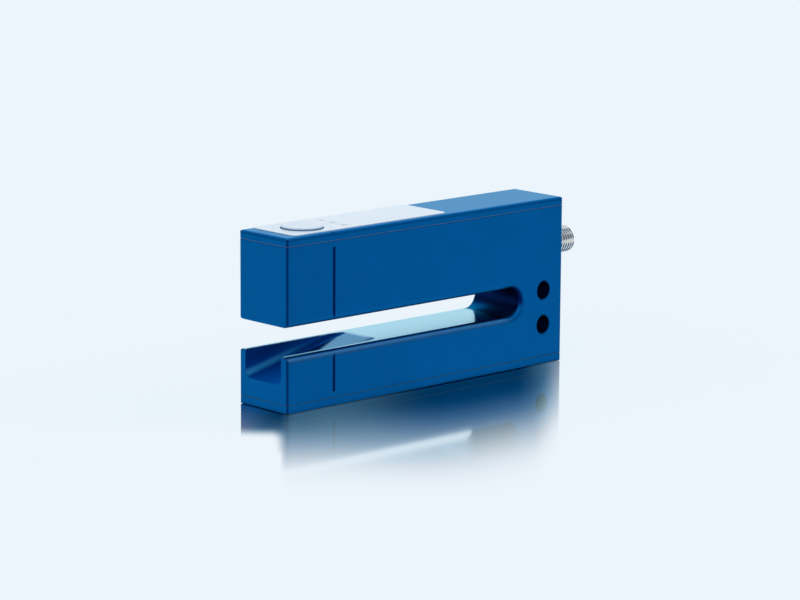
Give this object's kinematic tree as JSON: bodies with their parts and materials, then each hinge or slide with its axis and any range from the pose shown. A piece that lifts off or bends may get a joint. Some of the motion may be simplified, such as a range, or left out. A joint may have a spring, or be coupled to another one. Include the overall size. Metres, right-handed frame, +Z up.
{
  "type": "ultrasonic fork sensor",
  "caption": "Fork-shaped ultrasonic sensor with a slot between two arms, a sloping beam channel, a push button on top, cross mounting holes and a round threaded plug.",
  "frame": {"origin": "middle of the overall box, plug included, at the height of the base that the sensor stands on", "axes": "+X along the arms towards the plug, -X out of the fork's mouth, +Z up from the base through the push button, Y across the body"},
  "size_m": [0.1216, 0.0206, 0.051],
  "materials": {
    "anodised_blue": "satin blue anodised",
    "seal": "matt bonded seal",
    "label": "pale polyester film",
    "button": "fine matt",
    "rubber_black": "smooth rubber",
    "switch_plunger": "moulded",
    "black_plastic": "moulded",
    "board": "solder mask",
    "ferrite": "sintered",
    "can_aluminium": "drawn",
    "light_green": "clear tinted",
    "light_amber": "clear tinted",
    "clear_plastic": "clear",
    "screw_steel": "zinc plated",
    "header_plastic": "moulded",
    "ribbon": "extruded",
    "cup_metal": "turned",
    "matching_layer": "porous cast resin",
    "piezo": "fired ceramic",
    "backing": "cast",
    "flex": "polyimide film",
    "nickel": "nickel plated",
    "gold": "gold plated"
  },
  "bodies": {
    "sensor_body": {"fork_housing": "anodised_blue", "top_cover": "anodised_blue", "bottom_cover": "anodised_blue", "top_seal": "seal", "bottom_seal": "seal", "label_film": "label", "push_switch": "black_plastic", "main_board": "board", "control_chip": "black_plastic", "drive_coil": "ferrite", "capacitors": "can_aluminium", "light_green": "light_green", "light_amber": "light_amber", "light_guides": "clear_plastic", "transmitter_board": "board", "board_screws": "screw_steel", "upper_header": "header_plastic", "lower_header": "header_plastic", "link_ribbon": "ribbon", "transmitter_cup": "cup_metal", "transmitter_face": "matching_layer", "transmitter_piezo": "piezo", "transmitter_backing": "backing", "transmitter_flex": "flex", "receiver_cup": "cup_metal", "receiver_face": "matching_layer", "receiver_piezo": "piezo", "receiver_backing": "backing", "receiver_flex": "flex", "plug_shell": "nickel", "plug_insert": "black_plastic", "plug_pins": "gold", "plug_ring": "rubber_black", "plug_gasket": "rubber_black", "plug_nut": "nickel", "plug_board": "board", "plug_flex": "flex"},
    "button": {"push_button": "button", "button_ring": "rubber_black", "switch_plunger": "switch_plunger"}
  },
  "joints": [
    {"name": "button_press", "type": "slide", "parent": "sensor_body", "child": "button", "axis": [0, 0, -1], "range_m": [0, 0.00035], "stiffness_N_per_m": 2500, "springref_m": -0.0004}
  ]
}
